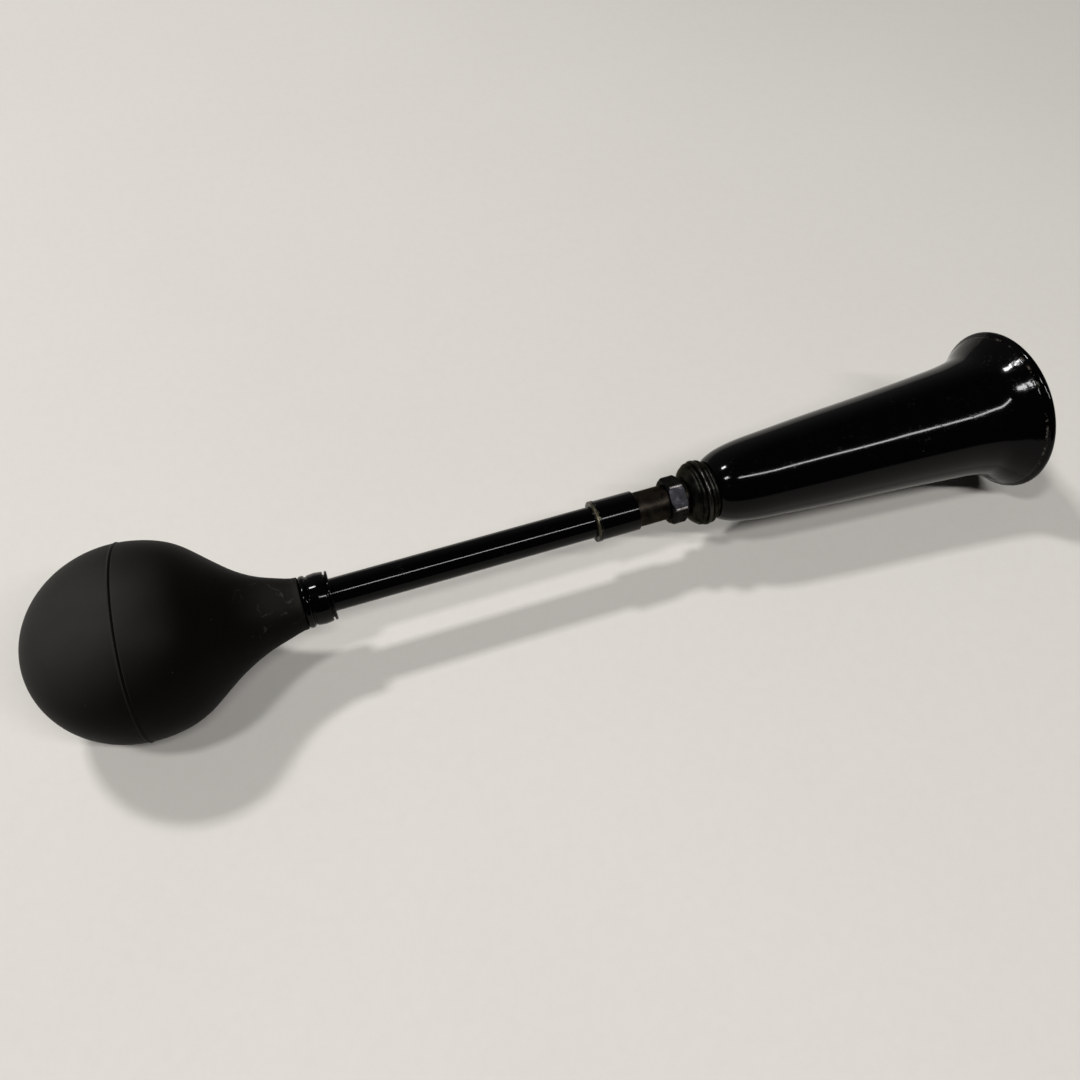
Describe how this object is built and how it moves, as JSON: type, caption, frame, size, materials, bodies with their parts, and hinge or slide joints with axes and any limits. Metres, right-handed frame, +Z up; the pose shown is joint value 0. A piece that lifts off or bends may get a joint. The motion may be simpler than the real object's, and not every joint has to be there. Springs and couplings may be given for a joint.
{
  "type": "bulb horn",
  "caption": "Straight bulb horn: a rubber squeeze bulb screwed to a long thin stem, a reed tube with a hexagonal nut, a ribbed throat collar and a long flared bell with a wired edge.",
  "frame": {"origin": "on the horn's axis, at the middle of the bare stem between the bulb's flange and the sleeve", "axes": "+X along the horn from the bulb to the bell's mouth, +Z up as it lies, +Y to the left of +X"},
  "size_m": [0.4517, 0.0826, 0.0819],
  "materials": {
    "rubber": "matte, slightly worn",
    "enamel": "gloss black",
    "bronzed_brass": "dark, satin, worn",
    "brass": "turned",
    "reed_brass": "hard rolled",
    "steel": "drawn",
    "leather": "plain"
  },
  "bodies": {
    "stem": {"stem_tube": "enamel", "stem_flange": "enamel", "stem_sleeve": "enamel", "reed_tube": "bronzed_brass", "hex_nut": "bronzed_brass", "reed_plug": "brass", "reed_shallot": "reed_brass", "reed_clamp": "brass", "reed_screws": "steel"},
    "tongue": {"reed_tongue": "reed_brass"},
    "bulb_seal": {"bulb_washer": "leather"},
    "bulb_union": {"bulb_ferrule": "enamel", "bulb_spigot": "brass"},
    "bulb": {"rubber_bulb": "rubber"},
    "bell_seal": {"throat_washer": "leather"},
    "bell": {"throat_collar": "bronzed_brass", "bell_back_washer": "brass", "bell_back_nut": "brass", "bell_shell": "enamel", "bell_rim_wire": "steel"}
  },
  "joints": [
    {"name": "bulb_advance", "type": "slide", "parent": "stem", "child": "bulb_seal", "axis": [-1, 0, 0], "range_m": [0, 0.005]},
    {"name": "bulb_unscrew", "type": "hinge", "parent": "bulb_seal", "child": "bulb_union", "pos_m": [-0.065, 0, 0], "axis": [-1, 0, 0], "range_deg": [0, 1800]},
    {"name": "bulb_squeeze", "type": "slide", "parent": "bulb_union", "child": "bulb", "axis": [1, 0, 0], "range_m": [0, 0.028], "stiffness_N_per_m": 1000, "deforming": ["rubber_bulb"]},
    {"name": "reed_flex", "type": "hinge", "parent": "stem", "child": "tongue", "pos_m": [0.0969, 0, 0.0036], "axis": [0, -1, 0], "range_deg": [-1, 2], "stiffness_Nm_per_rad": 0.02, "deforming": ["reed_tongue"]},
    {"name": "bell_advance", "type": "slide", "parent": "stem", "child": "bell_seal", "axis": [1, 0, 0], "range_m": [0, 0.005]},
    {"name": "bell_unscrew", "type": "hinge", "parent": "bell_seal", "child": "bell", "pos_m": [0.107, 0, 0], "axis": [1, 0, 0], "range_deg": [0, 1800]}
  ],
  "couplings": [
    {"joint": "bulb_advance", "follows": "bulb_unscrew", "m_per_rad": 0.000159},
    {"joint": "bell_advance", "follows": "bell_unscrew", "m_per_rad": 0.000159}
  ]
}
